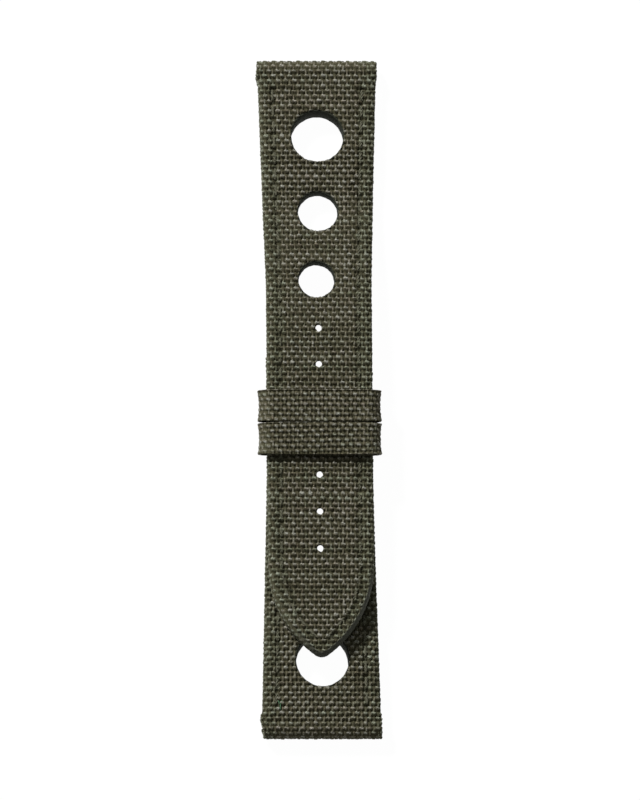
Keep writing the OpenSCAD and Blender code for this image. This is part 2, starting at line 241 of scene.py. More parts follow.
    def beyond(self, x, s, width):
        """How far a point of the plan lies past the side (negative inside), and the direction
        straight out of it. Past TIP_S the side is the tip's large arc, then the nose's arc."""
        ax = np.abs(x)
        side = np.where(x < 0, -1.0, 1.0)
        past, out_x, out_s = ax - width, np.ones_like(ax), np.zeros_like(ax)
        if self.long:
            tip = s > TIP_S
            far = np.hypot(ax - TIP_X, s - TIP_S)
            nose = tip & (np.arctan2(s - TIP_S, ax - TIP_X) > NOSE_ANGLE)
            near = np.maximum(np.hypot(ax, s - NOSE_S), 1e-6)
            past = np.where(tip, np.where(nose, near - NOSE_R, far - TIP_R), past)
            out_x = np.where(tip, np.where(nose, ax / near, (ax - TIP_X) / far), out_x)
            out_s = np.where(tip, np.where(nose, (s - NOSE_S) / near, (s - TIP_S) / far), out_s)
        return past, out_x * side, out_s

    def reach(self, form):
        """How much canvas goes over the shoulder's quarter ellipse, nearly, and down the wall,
        the small corner's radius, and how much goes from the shoulder to the hem's end."""
        corner = 0.3
        a, b = form["shoulder_w"], form["shoulder_h"]
        quarter = np.pi / 4 * (3 * (a + b) - np.sqrt((3 * a + b) * (a + 3 * b)))
        wall = form["depth"] - b - corner
        return quarter, wall, corner, quarter + wall + corner * np.pi / 2 + form["hem"]

    def excess(self, x, run):
        """How far a point of the flat canvas lies past its cut edge, and the way out."""
        form = self.edge_form(x, run)
        past, out_x, out_s = self.beyond(x, run, form["width"])
        return past + form["shoulder_w"] - self.reach(form)[3], out_x, out_s

    def wrap(self, x, run):
        """Lay points of the flat canvas on the strap. Inside the shoulder a point stays over its place
        in plan. Past it, the extra length goes round a quarter ellipse, down the side, round a small
        corner and in under the hem, square to the side's line. Returns the points, their normals, that
        extra length and the share of the tip's dark edge paint, which is partly painted shade."""
        form = self.edge_form(x, run)
        a, b = form["shoulder_w"], form["shoulder_h"]
        past, out_x, out_s = self.beyond(x, run, form["width"])
        extra = past + a
        over = np.maximum(extra, 0)
        base_x = x - out_x * over
        base_run = np.where(run > TIP_S if self.long else False, run - out_s * over, run)
        s, z, up_s, up_z = self.path(base_run)
        quarter, wall, corner, _ = self.reach(form)
        phi = np.pi / 2 * np.clip(extra / quarter, 0, 1)
        down = np.clip(extra - quarter, 0, wall)
        psi = np.clip((extra - quarter - wall) / corner, 0, np.pi / 2)
        under = np.maximum(extra - quarter - wall - corner * np.pi / 2, 0)
        out = a * np.sin(phi) - corner * (1 - np.cos(psi)) - under
        # The padded lug end is crowned: it lies lower towards its sides
        padded = (1 - smooth((s - 14) / 12)) * smooth((run - 3) / 3)
        crown = 0.22 * (base_x / form["width"]) ** 2 * padded
        drop = b * (1 - np.cos(phi)) + down + corner * np.sin(psi) + crown
        side = np.where(extra < quarter, np.sin(phi) / a, np.cos(psi))
        rise = np.where(extra < quarter, np.cos(phi) / b, -np.sin(psi))
        left = np.clip(-base_x / form["width"], 0, 1) ** 3
        height, place, corner_in = self.bulge
        bulge = height * np.exp(-(((s - place) / 0.9) ** 2)) - corner_in * smooth((2.6 - s) / 2.6)
        points = np.stack([
            base_x + out_x * out - left * bulge, s + out_s * out - up_s * drop, z - up_z * drop], 1)
        normals = np.stack([out_x * side, out_s * side + up_s * rise, up_z * rise], 1)
        normals /= np.linalg.norm(normals, axis=1, keepdims=True)
        # The tip's right side, away from the lamp, is painted dark: edge paint, and partly painted
        # shade
        paint = form["paint"] * smooth((extra - 0.1 * quarter) / 0.25)
        return self.place(points), self.turned(normals), extra, paint


class Hole:
    """A hole in a strap: round, oval, or a slot with nearly square corners."""

    def __init__(self, x, run, half_x, half_run=None, power=2):
        self.x, self.run, self.half_x, self.half_run = x, run, half_x, half_run or half_x
        self.power = power

    def share(self, x, run):
        """1 on the hole's edge, less inside, more outside."""
        p = self.power
        u, v = np.abs(x - self.x) / self.half_x, np.abs(run - self.run) / self.half_run
        return np.maximum((u**p + v**p) ** (1 / p), 1e-6)

    def gap(self, x, run):
        """How far outside the edge a point lies, along the line to the hole's middle."""
        return np.hypot(x - self.x, run - self.run) * (1 - 1 / self.share(x, run))


def walk(first, following, count):
    """The first count corners met from one corner along a rim, where following[i] comes after
    i. The path doubles at each turn of the loop, and so does the length of the jump."""
    path, jump = np.array([first]), following
    while len(path) < count:
        path, jump = np.concatenate([path, jump[path]]), jump[jump]
    return path[:count]


def ticks(start, end, step):
    """Evenly spaced values from start to end, as nearly a step apart as fits."""
    return np.linspace(start, end, round((end - start) / step) + 1)


def cut_grid(xs, runs, excess, holes):
    """Keep the cells of a grid whose middles lie inside an outline and outside every hole,
    and pull the corners that the cut leaves onto the outline and onto the holes' edges.
    Returns the kept corners' x and run, the cells, and each closed rim as its corners in order
    round its middle with their angles, the outline's first."""
    mid_x, mid_run = np.meshgrid((xs[:-1] + xs[1:]) / 2, (runs[:-1] + runs[1:]) / 2)
    keep = excess(mid_x.ravel(), mid_run.ravel())[0].reshape(mid_x.shape) < 0
    for hole in holes:
        keep &= hole.share(mid_x, mid_run) > 1
    row, col = np.nonzero(keep)
    first = row * len(xs) + col
    quads = np.stack([first, first + 1, first + 1 + len(xs), first + len(xs)], 1)
    used, quads = np.unique(quads, return_inverse=True)
    quads = quads.reshape(-1, 4)
    x, run = xs[used % len(xs)].copy(), runs[used // len(xs)].copy()

    edges = np.concatenate([quads[:, [k, (k + 1) % 4]] for k in range(4)])
    # Only an edge of a rim has no cell that meets it the other way round
    key, back = edges @ [len(x), 1], edges @ [1, len(x)]
    edges = edges[~np.isin(key, back)]
    following = np.zeros(len(x), dtype=int)
    following[edges[:, 0]] = edges[:, 1]
    rim = edges[:, 0]
    # A rim's corner belongs to the nearest hole, or to the outline if none is within 1.6 cells
    cell = max(xs[1] - xs[0], runs[1] - runs[0])
    gaps = [np.full(len(rim), 1.6 * cell)] + [hole.gap(x[rim], run[rim]) for hole in holes]
    owner = np.argmin(gaps, axis=0) - 1
    rims = []
    middle, stretch = (runs[0] + runs[-1]) / 2, (xs[-1] - xs[0]) / (runs[-1] - runs[0])
    for k in range(-1, len(holes)):
        mine = rim[owner == k]
        at_x, at_run = x[mine], run[mine]
        if k < 0:
            angle = np.arctan2((at_run - middle) * stretch, at_x)
            past, out_x, out_run = excess(at_x, at_run)
            past = np.where(np.abs(past) < cell, past, 0)
            x[mine], run[mine] = at_x - out_x * past, at_run - out_run * past
        else:
            hole = holes[k]
            off_x, off_run = at_x - hole.x, at_run - hole.run
            angle = np.arctan2(off_run, off_x)
            share = hole.share(at_x, at_run)
            x[mine], run[mine] = hole.x + off_x / share, hole.run + off_run / share
        around = np.zeros(len(x))
        around[mine] = angle
        # The outline is walked in order of angle, and a hole against it
        way = 1 if k < 0 else -1
        loop = walk(mine[np.argmin(way * angle)], following, len(mine))[::way]
        turn = np.unwrap(around[loop])
        turn = np.maximum.accumulate(turn - 2 * np.pi * np.round(turn.mean() / (2 * np.pi)))
        rims.append((loop, np.minimum(turn, turn[0] + 2 * np.pi)))
    return x, run, quads, rims


def zip_rims(outer, inner, flip):
    """Close the gap between two loops that are each in order of angle. Going once round, each
    step along one loop makes a triangle with the point that the other loop has reached."""
    (a, angle_a), (b, angle_b) = outer, inner
    full = 2 * np.pi
    next_a, next_b = [np.append(angle[1:], angle[0] + full) for angle in (angle_a, angle_b)]
    wrap_a, wrap_b = [np.append(angle, angle + full) for angle in (angle_a, angle_b)]
    at_b = np.searchsorted(wrap_b, next_a, side="left") - 1
    at_a = np.searchsorted(wrap_a, next_b, side="right") - 1
    steps_a = np.stack([a, b[at_b % len(b)], np.roll(a, -1)], 1)
    steps_b = np.stack([a[at_a % len(a)], b, np.roll(b, -1)], 1)
    faces = np.concatenate([steps_a, steps_b])
    return faces[:, ::-1] if flip else faces


def add_object(name, data):
    """A new object in the scene for a mesh, a lamp or a camera."""
    made = bpy.data.objects.new(name, data)
    bpy.context.scene.collection.objects.link(made)
    return made


def make_piece(name, body, points, faces, uv=None, marks=None, material=None, replaced=()):
    """A mesh object from points in millimetres and arrays of faces with 3, 4 or more corners.
    uv is in millimetres of cloth or thread, one pair a point, and marks are named point values."""
    mesh = bpy.data.meshes.new(name)
    corners = np.concatenate([f.ravel() for f in faces]).astype(np.int32)
    sizes = np.concatenate([np.full(len(f), f.shape[1]) for f in faces])
    starts = np.concatenate([[0], np.cumsum(sizes)[:-1]]).astype(np.int32)
    mesh.vertices.add(len(points))
    mesh.vertices.foreach_set("co", (np.asarray(points) * MM).astype(np.float32).ravel())
    mesh.loops.add(len(corners))
    mesh.loops.foreach_set("vertex_index", corners)
    mesh.polygons.add(len(sizes))
    mesh.polygons.foreach_set("loop_start", starts)
    mesh.update(calc_edges=True)
    mesh.polygons.foreach_set("use_smooth", np.ones(len(sizes), dtype=bool))
    if uv is not None:
        layer = mesh.uv_layers.new(name="flat_mm")
        layer.data.foreach_set("uv", uv[corners].astype(np.float32).ravel())
    for key, values in (marks or {}).items():
        mesh.attributes.new(key, "FLOAT", "POINT").data.foreach_set("value", values.astype(np.float32))
    piece = add_object(name, mesh)
    mesh.materials.append(material)
    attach(piece, body)
    if replaced:
        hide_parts(*replaced)
    return piece


class Weave:
    """A plain weave of fat weft yarns over thinner warp yarns, as a height field on the flat
    canvas. Each yarn has its own wander, size and shade, drawn once from a seed. Each float of
    the weft slants along the canvas by the lean, and shows its crest and its warp yarn off
    the middle, on the side that the lean's sign gives."""

    def __init__(self, seed, lean, yarns=400):
        rng = np.random.default_rng(seed)
        self.yarns, self.lean = yarns, lean
        self.side = 1 if lean > 0 else -1
        self.phase = rng.uniform(0, 2 * np.pi, (6, yarns))
        self.lift = rng.normal(0, 0.035, (2, yarns))
        self.shade = rng.normal(0, 1, (2, yarns))
        self.tint = rng.normal(0, 1, (2, yarns))
        self.spots = rng.normal(0, 1, (4, yarns, yarns))

    def waver(self, at, size, length, k, yarn):
        """A sine along a yarn, at a phase of the yarn's own: length is its wave's over 2 pi."""
        return size * np.sin(at / length + self.phase[k, yarn])

    def cloth(self, x, run):
        """Height in mm over the yarns' usual tops, relief from 0 in a gap to 1 on a yarn, and each
        point's shade, tint and share of warp. The shade holds a painted highlight and painted shade,
        besides tone that differs at random.

        Across each yarn its top is half an ellipse. Along it, its height is a cosine, flattened
        towards a square wave, and high where it crosses over. Weft row j is over warp column i
        where i + j is even."""
        i = np.floor(x / WARP).astype(int)
        j = np.floor(run / WEFT).astype(int)
        ip, jp = i % self.yarns, j % self.yarns
        sway = self.waver(x, 0.045, 1.9, 0, jp) + self.waver(x, 0.03, 0.7, 1, jp)
        drift = self.waver(run, 0.035, 2.3, 2, ip) + self.waver(run, 0.02, 0.8, 3, ip)
        # A float's own slant: 0 at its middle and again at both its ends
        beat = np.pi * (x / WARP - 0.5 + j)
        sway += self.lean * np.sin(beat) * np.cos(beat)
        weft_half, warp_half = WEFT_HALF + self.lift[0, jp], WARP_HALF + 0.6 * self.lift[1, ip]
        across_weft = (run - (j + 0.5) * WEFT - sway) / weft_half
        across_warp = (x - (i + 0.5) * WARP - drift + 0.1 * self.side) / warp_half
        # From 1 where a yarn crosses over to -1 where it dives under, with ragged ends
        weft_over = np.cos(beat) + 0.05 + self.waver(x, 0.2, 0.37, 4, jp)
        warp_beat = np.pi * ((run - 0.22 * self.side) / WEFT + 0.5 + i)
        warp_over = np.cos(warp_beat) - 0.1 + self.waver(run, 0.2, 0.43, 5, ip)
        weft_wave = np.sin(np.pi / 2 * np.clip(2.1 * weft_over, -1, 1))
        warp_wave = np.sin(np.pi / 2 * np.clip(1.4 * warp_over, -1, 1))
        slack = 0.05 * self.spots[0, ip, jp]
        weft = 0.2 * weft_wave + (0.28 + slack) * np.sqrt(np.maximum(1 - across_weft**2, 0))
        warp = 0.2 * warp_wave + 0.21 * np.sqrt(np.maximum(1 - across_warp**2, 0))
        weft = np.where(np.abs(across_weft) < 1, weft, -1)
        warp = np.where(np.abs(across_warp) < 1, warp, -1)
        height = np.maximum(np.maximum(weft, warp), GAP_FLOOR)
        upper = warp > weft
        # Painted light in the shade: a yarn is painted paler along its crest, the weft's a little off
        # its middle towards the lamp, as a painted highlight. It is painted darker where it dives
        # under, and the warp darker than the weft, as painted shade. The spots and each yarn's own
        # share are tone that differs at random
        warp_crest = np.exp(-((across_warp / 0.7) ** 2)) * np.clip(1.3 * warp_over, 0, 1)
        weft_crest = np.exp(-(((across_weft + 0.25 * self.side) / 0.55) ** 2))
        warp_own = 0.3 * self.shade[1, ip] + 0.7 * self.spots[1, ip, jp] - 1.4
        weft_own = 0.2 * self.shade[0, jp] + 0.5 * self.spots[2, ip // 2, jp] - 1.3
        shade = np.where(
            upper,
            1.5 * warp_crest + warp_own,
            1.25 * weft_crest * (1 + weft_wave) + weft_own + 0.5 * weft_wave)
        tint = np.where(upper, self.tint[1, ip], self.tint[0, jp])
        tint += 0.6 * self.spots[3, ip // 3, jp]
        relief = np.clip((height - GAP_FLOOR) / (YARN_TOP - GAP_FLOOR), 0, 1)
        marks = {"relief": relief, "shade": shade, "tint": tint, "warp": upper * 1.0}
        return height - YARN_TOP + 0.05, marks


def linear(hex_colour):
    """An sRGB hex colour as linear RGBA."""
    value = np.array([int(hex_colour[k : k + 2], 16) for k in (1, 3, 5)]) / 255
    rgb = np.where(value <= 0.04045, value / 12.92, ((value + 0.055) / 1.055) ** 2.4)
    return (*[float(c) for c in rgb], 1.0)


def node(tree, kind, inputs=None, **settings):
    """Add a shader node with its settings, and set or link its inputs."""
    made = tree.nodes.new("ShaderNode" + kind)
    for key, value in settings.items():
        setattr(made, key, value)
    for key, value in (inputs or {}).items():
        if isinstance(value, bpy.types.NodeSocket):
            tree.links.new(value, made.inputs[key])
        else:
            made.inputs[key].default_value = value
    return made


def new_material(name):
    made = bpy.data.materials.new(name)
    made.use_nodes = True
    made.node_tree.nodes.clear()
    return made, made.node_tree


def woven_nylon():
    """Olive nylon canvas, piece-dyed and plainly woven from textured yarn. It gives the eye pale tops,
    which are a painted highlight, dark gaps, which are painted shade, yarns that differ a little
    between brown and green, and fine broken filaments along each yarn."""
    made, tree = new_material("olive_nylon_canvas")
    marks = {
        key: node(tree, "Attribute", attribute_name=key).outputs["Fac"]
        for key in ("relief", "shade", "tint", "warp", "paint")}
    rgba = {"data_type": "RGBA"}
    # Over the flanks' colour, each row mixes in another one where its mark goes from start to end, up
    # to most: the pale crests, which are a painted highlight, and a yarn's brown or green cast
    yarn = linear("#5B5644")
    for mark, start, end, most, over in (
            ("shade", -1.0, 1.6, 1.0, "#64645D"),
            ("tint", 0.4, 2.4, 0.25, "#675B50"),
            ("tint", -0.6, -2.6, 0.4, "#565F4B")):
        share = node(tree, "MapRange", {0: marks[mark], 1: start, 2: end, 3: 0.0, 4: most})
        mixed = node(tree, "Mix", {0: share.outputs[0], 6: yarn, 7: linear(over)}, **rgba)
        yarn = mixed.outputs[2]

    # Single filaments are too fine for the picture: slanting tufts of this size in mm are seen
    tuft_long, tuft_wide, slant = 1 / 2.6, 1 / 6.5, 0.45
    place = node(tree, "UVMap", uv_map="flat_mm")
    along_weft, along_warp = [
        node(tree, "Mapping", {
            "Vector": place.outputs[0], "Scale": (1 / size_x, 1 / size_run, 1),
            "Rotation": (0, 0, slant)})
        for size_x, size_run in ((tuft_long, tuft_wide), (tuft_wide, tuft_long))
    ]
    fibre_at = node(tree, "Mix", {
        0: marks["warp"], 4: along_weft.outputs[0], 5: along_warp.outputs[0]}, data_type="VECTOR")
    fibres = node(tree, "TexNoise", {
        "Vector": fibre_at.outputs[1], "Scale": 1.0, "Detail": 3.0, "Roughness": 0.6})
    streak = node(tree, "MapRange", {0: fibres.outputs[0], 1: 0.34, 2: 0.66, 3: 0.2, 4: 2.2})

    # The shade mark scales the yarn's colour: painted highlight and painted shade, with tone that
    # differs at random
    shade = node(tree, "MapRange", {0: marks["shade"], 1: -2.5, 2: 2.5, 3: 0.3, 4: 1.9})
    level = node(tree, "Math", {0: streak.outputs[0], 1: shade.outputs[0]}, operation="MULTIPLY")
    lit = node(tree, "VectorMath", {0: yarn, "Scale": level.outputs[0]}, operation="SCALE")
    # Painted shade: the gaps between the yarns are painted a dark olive, darker the deeper they lie
    raised = node(tree, "MapRange", {
        0: marks["relief"], 1: 0.2, 2: 0.95, 3: 0.0, 4: 1.0}, interpolation_type="SMOOTHSTEP")
    colour = node(tree, "Mix", {
        0: raised.outputs[0], 6: linear("#454331"), 7: lit.outputs[0]}, **rgba)
    # Painted shade in part: the tip's right side, away from the lamp, takes a dark edge paint
    painted = node(tree, "Mix", {
        0: marks["paint"], 6: colour.outputs[2], 7: linear("#47483F")}, **rgba)
    bump = node(tree, "Bump", {"Strength": 0.7, "Distance": 0.1 * MM, "Height": fibres.outputs[0]})
    shader = node(tree, "BsdfPrincipled", {
        "Base Color": painted.outputs[2], "Roughness": 0.75, "Specular IOR Level": 0.12,
        "Normal": bump.outputs[0]})
    node(tree, "OutputMaterial", {"Surface": shader.outputs[0]})
    return made


def grained(name, colour, dark, roughness, grain_mm, bump_mm, specular=0.4):
    """A surface with a fine two-tone grain on Object coordinates, for leather, paint, thread
    and the inner layers: the grain's size and height are in millimetres."""
    made, tree = new_material(name)
    place = node(tree, "TexCoord")
    fine = node(tree, "TexNoise", {
        "Vector": place.outputs["Object"], "Scale": 1 / (grain_mm * MM), "Detail": 4.0,
        "Roughness": 0.6})
    mixed = node(tree, "Mix", {
        0: fine.outputs[0], 6: linear(dark), 7: linear(colour)}, data_type="RGBA")
    bump = node(tree, "Bump", {"Strength": 0.6, "Distance": bump_mm * MM, "Height": fine.outputs[0]})
    shader = node(tree, "BsdfPrincipled", {
        "Base Color": mixed.outputs[2], "Roughness": roughness, "Specular IOR Level": specular,
        "Normal": bump.outputs[0]})
    node(tree, "OutputMaterial", {"Surface": shader.outputs[0]})
    return made


CANVAS = woven_nylon()
# Acrylic edge paint, brushed on the cut walls: matt, nearly black, a little uneven
EDGE_PAINT = grained("black_green_edge_paint", "#35382F", "#22241D", 0.8, 0.4, 0.03, 0.08)
# Tanned calf leather with a smooth, faintly shiny grain
LEATHER = grained("dark_brown_calf_lining", "#3B3029", "#2A221D", 0.55, 0.35, 0.05)
# Spun polyester sewing threads, whose fibres show as a fine pale and dark grain
THREAD = grained("olive_polyester_thread", "#7E7D6A", "#3C3C32", 0.7, 0.12, 0.04, 0.05)
GREEN_THREAD = grained("green_polyester_thread", "#56795A", "#37503B", 0.7, 0.12, 0.04, 0.05)
# Pressed wool felt: pale, matt and mottled
FELT = grained("wool_felt_padding", "#C9C0AA", "#A49C88", 0.95, 0.4, 0.1, 0.2)
# Woven polyester tape: an even off-white
TAPE = grained("polyester_tape", "#C2C1BA", "#A9A8A0", 0.8, 0.3, 0.05, 0.3)


def strap_holes(strap, tongue_r, grow=0.0, shift=0.0):
    """The holes in one layer of a strap, in the order of their place along it. The large ones
    can be wider by grow all round, and shifted along the strap. The long strap's small ones
    are a little longer than wide, and the short strap's two sight holes lie under the seventh
    and fifth of them."""
    large = [Hole(x, s + shift, r + grow, r + grow + longer) for x, s, r, longer in strap.rally]
    if strap.long:
        return large + [Hole(TONGUE_X, s, 0.97 * tongue_r, 1.09 * tongue_r) for s in TONGUE_S]
    below = 2 * HALF_LEN - TONGUE_S[[6, 4]] + SIGHT_SHIFT
    return large + [Hole(TONGUE_X, s, SIGHT_R) for s in below]


def seam_dip(extra, run, last):
    """How far the seam pulls the canvas down: a narrow trough SEAM_INSET inside the side, from
    SEAM_START to last, that is deeper where the thread dives between stitches."""
    off = extra + SEAM_INSET - SHOULDER_W
    along = np.cos(2 * np.pi * (run - SEAM_START + 0.4) / STITCH_PITCH)
    inside = smooth((run - SEAM_START + 0.8) / 0.8) * (1 - smooth((run - last) / 0.8))
    return inside * (0.24 + 0.16 * along) * np.exp(-((off / 0.45) ** 2))


def flattening(extra, run, strap):
    """The share of the weave's depth that is left where the canvas is pulled tight: round the
    sides, over the folds, and most of all round the tip."""
    tight = smooth((extra - 0.9) / 0.8)
    ends = smooth((ROLL_R + 0.8 - run) / 1.2)
    tip = smooth((run - TIP_S + 3) / 3) if strap.long else 0
    return (1 - (0.4 + 0.35 * tip) * tight) * (1 - 0.4 * ends)


def canvas(name, strap, weave, run_from, run_to):
    """A closed sheet of canvas. The outer face is the weave's height field laid round the
    strap, and the inner face is the same cut on a coarser grid, INNER_DEPTH down. The rims of
    the cut and of every hole join them."""
    holes = strap_holes(strap, TONGUE_R, shift=-0.15 if strap.long else 0.1)
    if not strap.long:
        middle = BUCKLE_S + np.pi * BUCKLE_R / 2
        holes.append(Hole(0, middle, SLOT_HALF, SLOT_LEN - BUCKLE_R + np.pi * BUCKLE_R / 2, 12))
    holes = [h for h in holes if run_from < h.run < run_to]
    layers = []
    for step_x, step_run in ((STEP_X, STEP_RUN), (INNER_STEP, INNER_STEP)):
        reach = np.ceil(CUT_HALF / step_x) * step_x
        xs, runs = ticks(-reach, reach, step_x), ticks(run_from, run_to, step_run)
        layers.append(cut_grid(xs, runs, strap.excess, holes))
    (x, run, quads, rims), (inner_x, inner_run, inner_quads, inner_rims) = layers

    points, normals, extra, paint = strap.wrap(x, run)
    height, marks = weave.cloth(x, run)
    # The tip's dark edge paint is partly painted shade on the side away from the lamp
    marks["paint"] = paint
    # The seam pulls the canvas into a trough, painted darker the deeper it is as painted shade, and
    # the cloth beyond it is greener
    dip = seam_dip(extra, run, LONG_LEN + 9 if strap.long else strap.seam_to)
    height = height * flattening(extra, run, strap) * (1 - 0.8 * paint) - dip
    marks["shade"] -= 6.5 * dip
    marks["tint"] -= 2.8 * smooth((extra + SEAM_INSET - 0.4) / 0.8)
    if strap.long:
        # The seam's first stitches are pulled tight into dimples, which are painted darker as painted
        # shade
        tack = np.exp(-((np.abs(x) - 8) ** 2) - ((run - 6.1) / 0.8) ** 2)
        height -= 0.25 * tack
        marks["shade"] -= 2 * tack
    # The cloth bends down a little round each hole
    for hole in holes:
        gap = (hole.share(x, run) - 1) * hole.half_x
        height -= 0.12 * np.exp(-((gap / 0.25) ** 2))

    inner_points, inner_normals, _, _ = strap.wrap(inner_x, inner_run)
    shift = len(x)
    faces = [
        quads[:, ::-1] if strap.long else quads,
        (inner_quads if strap.long else inner_quads[:, ::-1]) + shift]
    for k, (outer, (loop, angle)) in enumerate(zip(rims, inner_rims)):
        faces.append(zip_rims(outer, (loop + shift, angle), strap.long != (k > 0)))
    piece = make_piece(
        name, strap.body,
        np.concatenate([
            points + normals * height[:, None], inner_points - inner_normals * INNER_DEPTH]),
        faces, np.stack([np.append(x, inner_x), np.append(run, inner_run)], 1),
        {key: np.append(values, np.zeros(len(inner_x))) for key, values in marks.items()},
        CANVAS, [strap.word + "_cover"])


def slab(kind, strap, inset, s_from, low, high, step, material, slot):
    """A flat layer of a strap, between two heights that follow s: a grid in plan, cut inset
    inside the strap's side and round the punched holes, with a wall along every rim. It
    replaces the strap's node with its slot's name."""
    reach, s_to = LUG_HALF + 0.2, strap.lining_to

    def excess(x, s):
        past, out_x, out_s = strap.beyond(x, s, strap.half_width(s))
        return past + inset, out_x, out_s

    holes = [h for h in strap_holes(strap, PUNCH_R, 0.1) if s_from < h.run < s_to]
    x, s, quads, rims = cut_grid(
        ticks(-reach, reach, step), ticks(s_from, s_to, step), excess, holes)
    count = len(x)
    layers = [strap.place(np.stack([x, s, height(s)], 1)) for height in (low, high)]
    turned = quads[:, ::-1]
    faces = [quads, turned + count] if strap.long else [turned, quads + count]
    for k, (loop, _) in enumerate(rims):
        wall = np.stack([loop + count, loop, np.roll(loop, -1), np.roll(loop, -1) + count], 1)
        faces.append(wall[:, ::-1] if strap.long != (k > 0) else wall)
    uv = np.stack([x, s], 1)
    return make_piece(
        f"{strap.word}_{kind}", strap.body, np.concatenate(layers), faces,
        np.concatenate([uv, uv]), None, material, [f"{strap.word}_{slot}"])


def closed_quads(index):
    """The cells of a grid of corners that closes on itself both ways."""
    across = np.roll(index, -1, axis=1)
    ahead, both = np.roll(index, -1, axis=0), np.roll(across, -1, axis=0)
    return np.stack([index, across, both, ahead], 2).reshape(-1, 4)


def tubes(paths, radius, sides=7):
    """Threads along paths, an array (threads, rings, 3): a ring of points about each centre,
    drawn in to a point at both ends."""
    count, rings = paths.shape[:2]
    ahead = np.gradient(paths, axis=1)
    ahead /= np.linalg.norm(ahead, axis=2, keepdims=True)
    level = np.cross(ahead, [0, 0, 1])
    level /= np.maximum(np.linalg.norm(level, axis=2, keepdims=True), 1e-9)
    up = np.cross(level, ahead)
    angle = np.linspace(0, 2 * np.pi, sides, endpoint=False)
    at = np.linspace(0, 1, rings)
    size = radius * np.sqrt(np.clip(1 - (2 * at - 1) ** 8, 0.002, 1))
    ring = np.cos(angle)[:, None] * level[:, :, None] + np.sin(angle)[:, None] * up[:, :, None]
    points = paths[:, :, None] + size[:, None, None] * ring
    index = np.arange(count * rings * sides).reshape(count, rings, sides)
    turned = np.roll(index, -1, axis=2)
    walls = np.stack([index[:, :-1], index[:, 1:], turned[:, 1:], turned[:, :-1]], 3).reshape(-1, 4)
    caps = np.concatenate([index[:, 0], index[:, -1, ::-1]])
    along = np.broadcast_to(at[:, None] * 2, index.shape)
    around = np.broadcast_to(angle / 3, index.shape)
    return points.reshape(-1, 3), [walls, caps], np.stack([along.ravel(), around.ravel()], 1)


def seam_line(strap):
    """One side's seam in plan, as closely spaced points (x, s), SEAM_INSET inside the side."""
    s = np.arange(SEAM_START, strap.seam_to, 0.1)
    line = np.stack([strap.half_width(s) - SEAM_INSET, s], 1)
    if strap.long:
        radius = TIP_R - SEAM_INSET
        turn = np.linspace(0, np.arccos(-TIP_X / radius), 200)
        arc = np.stack([TIP_X + radius * np.cos(turn), TIP_S + radius * np.sin(turn)], 1)
        line = np.concatenate([line, arc])
    return line


def seam(kind, strap):
    """Lockstitches along both sides: each is a short arch of two-ply thread that dives into
    the canvas (needle) or the lining (bobbin) at both ends."""
    line = seam_line(strap)
    reach = np.concatenate([[0], np.cumsum(np.linalg.norm(np.diff(line, axis=0), axis=1))])
    count = int((reach[-1] - STITCH_LEN) // STITCH_PITCH) + 1
    at = np.linspace(0, 1, 21)
    along = (np.arange(count) * STITCH_PITCH)[:, None] + at[None] * STITCH_LEN
    x, s = [np.interp(along, reach, values) for values in line.T]
    arch = np.sqrt(np.clip(1 - (2 * at - 1) ** 4, 0, 1))
    top, below = strap.top(s) - 0.62 + 0.32 * arch, strap.under(s) + 0.5 - 0.38 * arch
    z = top if kind == "needle" else below
    # The two plies wind round each other, a turn in every 1.3 mm, and lie side by side
    turn = 2 * np.pi * along / 1.3
    paths = np.concatenate([
        np.stack([side * (x + ply * 0.14 * np.cos(turn)), s, z + ply * 0.08 * np.sin(turn)], 2)
        for ply in (1, -1) for side in (1, -1)])
    points, faces, uv = tubes(strap.place(paths), 0.12)
    make_piece(
        f"{strap.word}_{kind}_stitches", strap.body, points, faces, uv, None, THREAD,
        [f"{strap.word}_{kind}_thread"])


def short_threads(name, body, pairs, replaced, radius=KEEPER_THREAD_R, material=THREAD):
    """Straight ends of thread between pairs of points, such as tacks."""
    ends = np.array(pairs, float)
    at = np.linspace(0, 1, 5)[None, :, None]
    points, faces, uv = tubes(ends[:, :1] + (ends[:, 1:] - ends[:, :1]) * at, radius)
    make_piece(name, body, points, faces, uv, None, material, replaced)


def hole_edging(strap):
    """The paint round each large hole: a profile carried round the hole, from under the canvas
    down the wall to a lip on the lining. Its edge wavers."""
    turn = np.linspace(0, 2 * np.pi, 120, endpoint=False)
    # Each row: distance out from the hole's edge, share of the way from underside to top, lift
    profile = np.array([
        [0.26, 1, -0.8], [0.2, 1, -0.5], [0.05, 1, -0.36], [-0.08, 1, -0.38], [-0.14, 1, -0.5],
        [-0.14, 0.5, 0.0], [-0.14, 0, 0.12], [-0.05, 0, -0.02], [0.15, 0, -0.05], [0.26, 0, 0.1],
        [0.3, 0.5, 0.0],
    ])
    points, faces = [], []
    for k, (centre, middle, radius, longer) in enumerate(strap.rally):
        waver = 0.05 * np.sin(5 * turn + k) + 0.04 * np.sin(11 * turn + 2 * k)
        waver += 0.03 * np.sin(23 * turn)
        out = radius + profile[:, 0] * (1 + waver[:, None] / 0.3)
        x = centre + out * np.cos(turn)[:, None]
        s = middle + (out + longer) * np.sin(turn)[:, None]
        z = strap.under(s) + strap.thick(s) * profile[:, 1] + profile[:, 2]
        points.append(strap.place(np.stack([x, s, z], 2)).reshape(-1, 3))
        quads = closed_quads(np.arange(x.size).reshape(x.shape) + k * x.size)
        faces.append(quads if strap.long else quads[:, ::-1])
    make_piece(
        strap.word + "_painted_edges", strap.body, np.concatenate(points), faces, None, None,
        EDGE_PAINT, [strap.word + "_hole_edging"])


